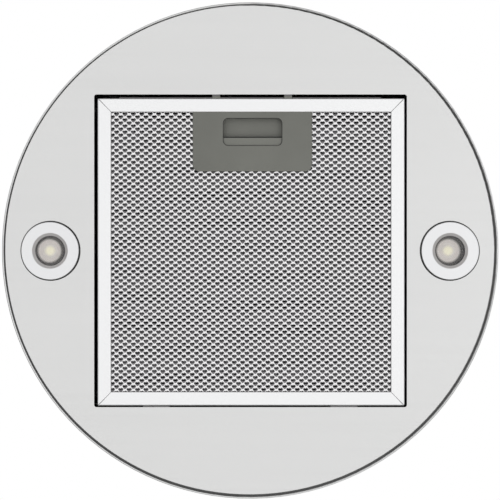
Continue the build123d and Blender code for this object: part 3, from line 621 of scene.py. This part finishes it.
def lamp_trims(side):
    """Black ring under the rim of a lamp's bezel, a painted shadow shifted towards the middle, and the pale
    bevelled ring inside it.
    """
    low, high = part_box(f"{side}_lamp_bezel")
    middle = (low + high) / 2
    radius = (high.x - low.x) / 2
    plate_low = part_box("bottom_plate")[0].z
    seat = Vector((middle.x - math.copysign(BEZEL_SHADOW_SHIFT, middle.x), middle.y, 0))
    bezel_shadow = [(radius - 1.5 * MM, plate_low - 0.25 * MM), (radius + 0.8 * MM, plate_low - 0.25 * MM),
              (radius + 0.9 * MM, plate_low), (radius - 1.5 * MM, plate_low)]
    turned(f"{side}_lamp_gasket", seat, bezel_shadow, "painted_shadow_black", "hood_body")
    bevel = [(13.26 * MM, low.z + 0.02 * MM), (11.17 * MM, low.z + 2.3 * MM),
             (11.5 * MM, low.z + 2.38 * MM), (13.36 * MM, low.z + 0.2 * MM)]
    turned(f"{side}_lamp_ring", middle, bevel, "lamp_ring", "hood_body")


for bar in ("frame_bar_front", "frame_bar_rear", "frame_bar_left", "frame_bar_right"):
    soften(nodes[bar], FRAME_EDGE_SOFTNESS)

window_edge_shadow()
slider_wall_shadow()
frame_edge_shadow()
mitre_joints()
rim_shade_ring()
for side in ("left", "right"):
    lamp_trims(side)


# ---------------------------------------------------------------- camera, floor and light

# The camera looks straight up, with the front of the hood at the top of the picture
camera_data = bpy.data.cameras.new("camera")
camera_data.lens = 190
camera_data.clip_end = 60
camera = bpy.data.objects.new("camera", camera_data)
bpy.context.scene.collection.objects.link(camera)
distance = VIEW_WIDTH * camera_data.lens / camera_data.sensor_width
camera.location = (CAMERA_X, CAMERA_Y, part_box("lower_shell")[0].z - distance)
camera.rotation_euler = (math.pi, 0, 0)
bpy.context.scene.camera = camera


def floor():
    """Pale, faintly glowing floor far below the hood."""
    mesh = bpy.data.meshes.new("floor")
    corners = ((-1, -1), (1, -1), (1, 1), (-1, 1))
    points = [(x * FLOOR_REACH, y * FLOOR_REACH, FLOOR_HEIGHT) for x, y in corners]
    mesh.from_pydata(points, [], [(0, 1, 2, 3)])
    pale = Shader("pale floor", (0.86, 0.86, 0.855), 0.0, 0.8)
    drift = pale.noise(0.6, 2.0)
    pale.feed(pale.blend(drift, (0.85, 0.85, 0.845), (0.87, 0.87, 0.865)), "Base Color")
    pale.set("Emission Color", (1, 1, 1, 1))
    pale.set("Emission Strength", 0.42)
    mesh.materials.append(pale.material)
    obj = bpy.data.objects.new("floor", mesh)
    bpy.context.scene.collection.objects.link(obj)


def studio_world():
    """White backdrop for the camera; for everything else soft boxes above, at the sides and below."""
    world = bpy.data.worlds.new("studio")
    bpy.context.scene.world = world
    world.use_nodes = True
    tree = world.node_tree
    make, link = tree.nodes.new, tree.links.new
    direction = make("ShaderNodeTexCoord").outputs["Generated"]

    def glow(aim, inner, outer, strength):
        """Brightness that fades from strength inside one angle in degrees to nothing outside another."""
        dot = make("ShaderNodeVectorMath")
        dot.operation = "DOT_PRODUCT"
        link(direction, dot.inputs[0])
        dot.inputs[1].default_value = Vector(aim).normalized()
        fade = make("ShaderNodeMapRange")
        fade.interpolation_type = "SMOOTHSTEP"
        fade.inputs["From Min"].default_value = math.cos(math.radians(outer))
        fade.inputs["From Max"].default_value = math.cos(math.radians(inner))
        fade.inputs["To Max"].default_value = strength
        link(dot.outputs["Value"], fade.inputs["Value"])
        return fade.outputs["Result"]

    total, *soft_boxes = (
        glow((0, 0, 1), 25, 85, 0.75),            # above
        glow((-0.8, -0.75, 0.25), 16, 42, 0.75),  # front left
        glow((0.95, -0.35, 0.1), 8, 30, 1.2),     # right
        glow((0.3, 0.95, 0.2), 14, 40, 0.8),      # rear
        glow((0, 0, -1), 40, 62, 0.69),           # below
    )
    for lamp in soft_boxes:
        plus = make("ShaderNodeMath")
        link(total, plus.inputs[0])
        link(lamp, plus.inputs[1])
        total = plus.outputs["Value"]
    base = make("ShaderNodeMath")
    base.inputs[1].default_value = SURROUNDING_LIGHT
    link(total, base.inputs[0])
    white = make("ShaderNodeBackground")
    white.inputs["Strength"].default_value = 1.0
    white.inputs["Color"].default_value = (1, 1, 1, 1)
    soft = make("ShaderNodeBackground")
    link(base.outputs["Value"], soft.inputs["Strength"])
    mix = make("ShaderNodeMixShader")
    link(make("ShaderNodeLightPath").outputs["Is Camera Ray"], mix.inputs["Fac"])
    link(soft.outputs["Background"], mix.inputs[1])
    link(white.outputs["Background"], mix.inputs[2])
    output = tree.nodes.get("World Output") or make("ShaderNodeOutputWorld")
    link(mix.outputs["Shader"], output.inputs["Surface"])


def area_light(name, location, aim, size, power):
    """Square light that points from location to aim; size in metres, power in watts."""
    data = bpy.data.lights.new(name, "AREA")
    data.size = size
    data.energy = power
    obj = bpy.data.objects.new(name, data)
    obj.location = location
    obj.rotation_euler = (Vector(aim) - Vector(location)).to_track_quat("-Z", "Y").to_euler()
    bpy.context.scene.collection.objects.link(obj)


floor()
studio_world()
area_light("key from below", (1.1, -0.1, -2.9), (0, 0, -0.8), 0.7, 1.5)

bpy.context.scene.view_settings.view_transform = "Standard"
bpy.context.scene.view_settings.look = "None"
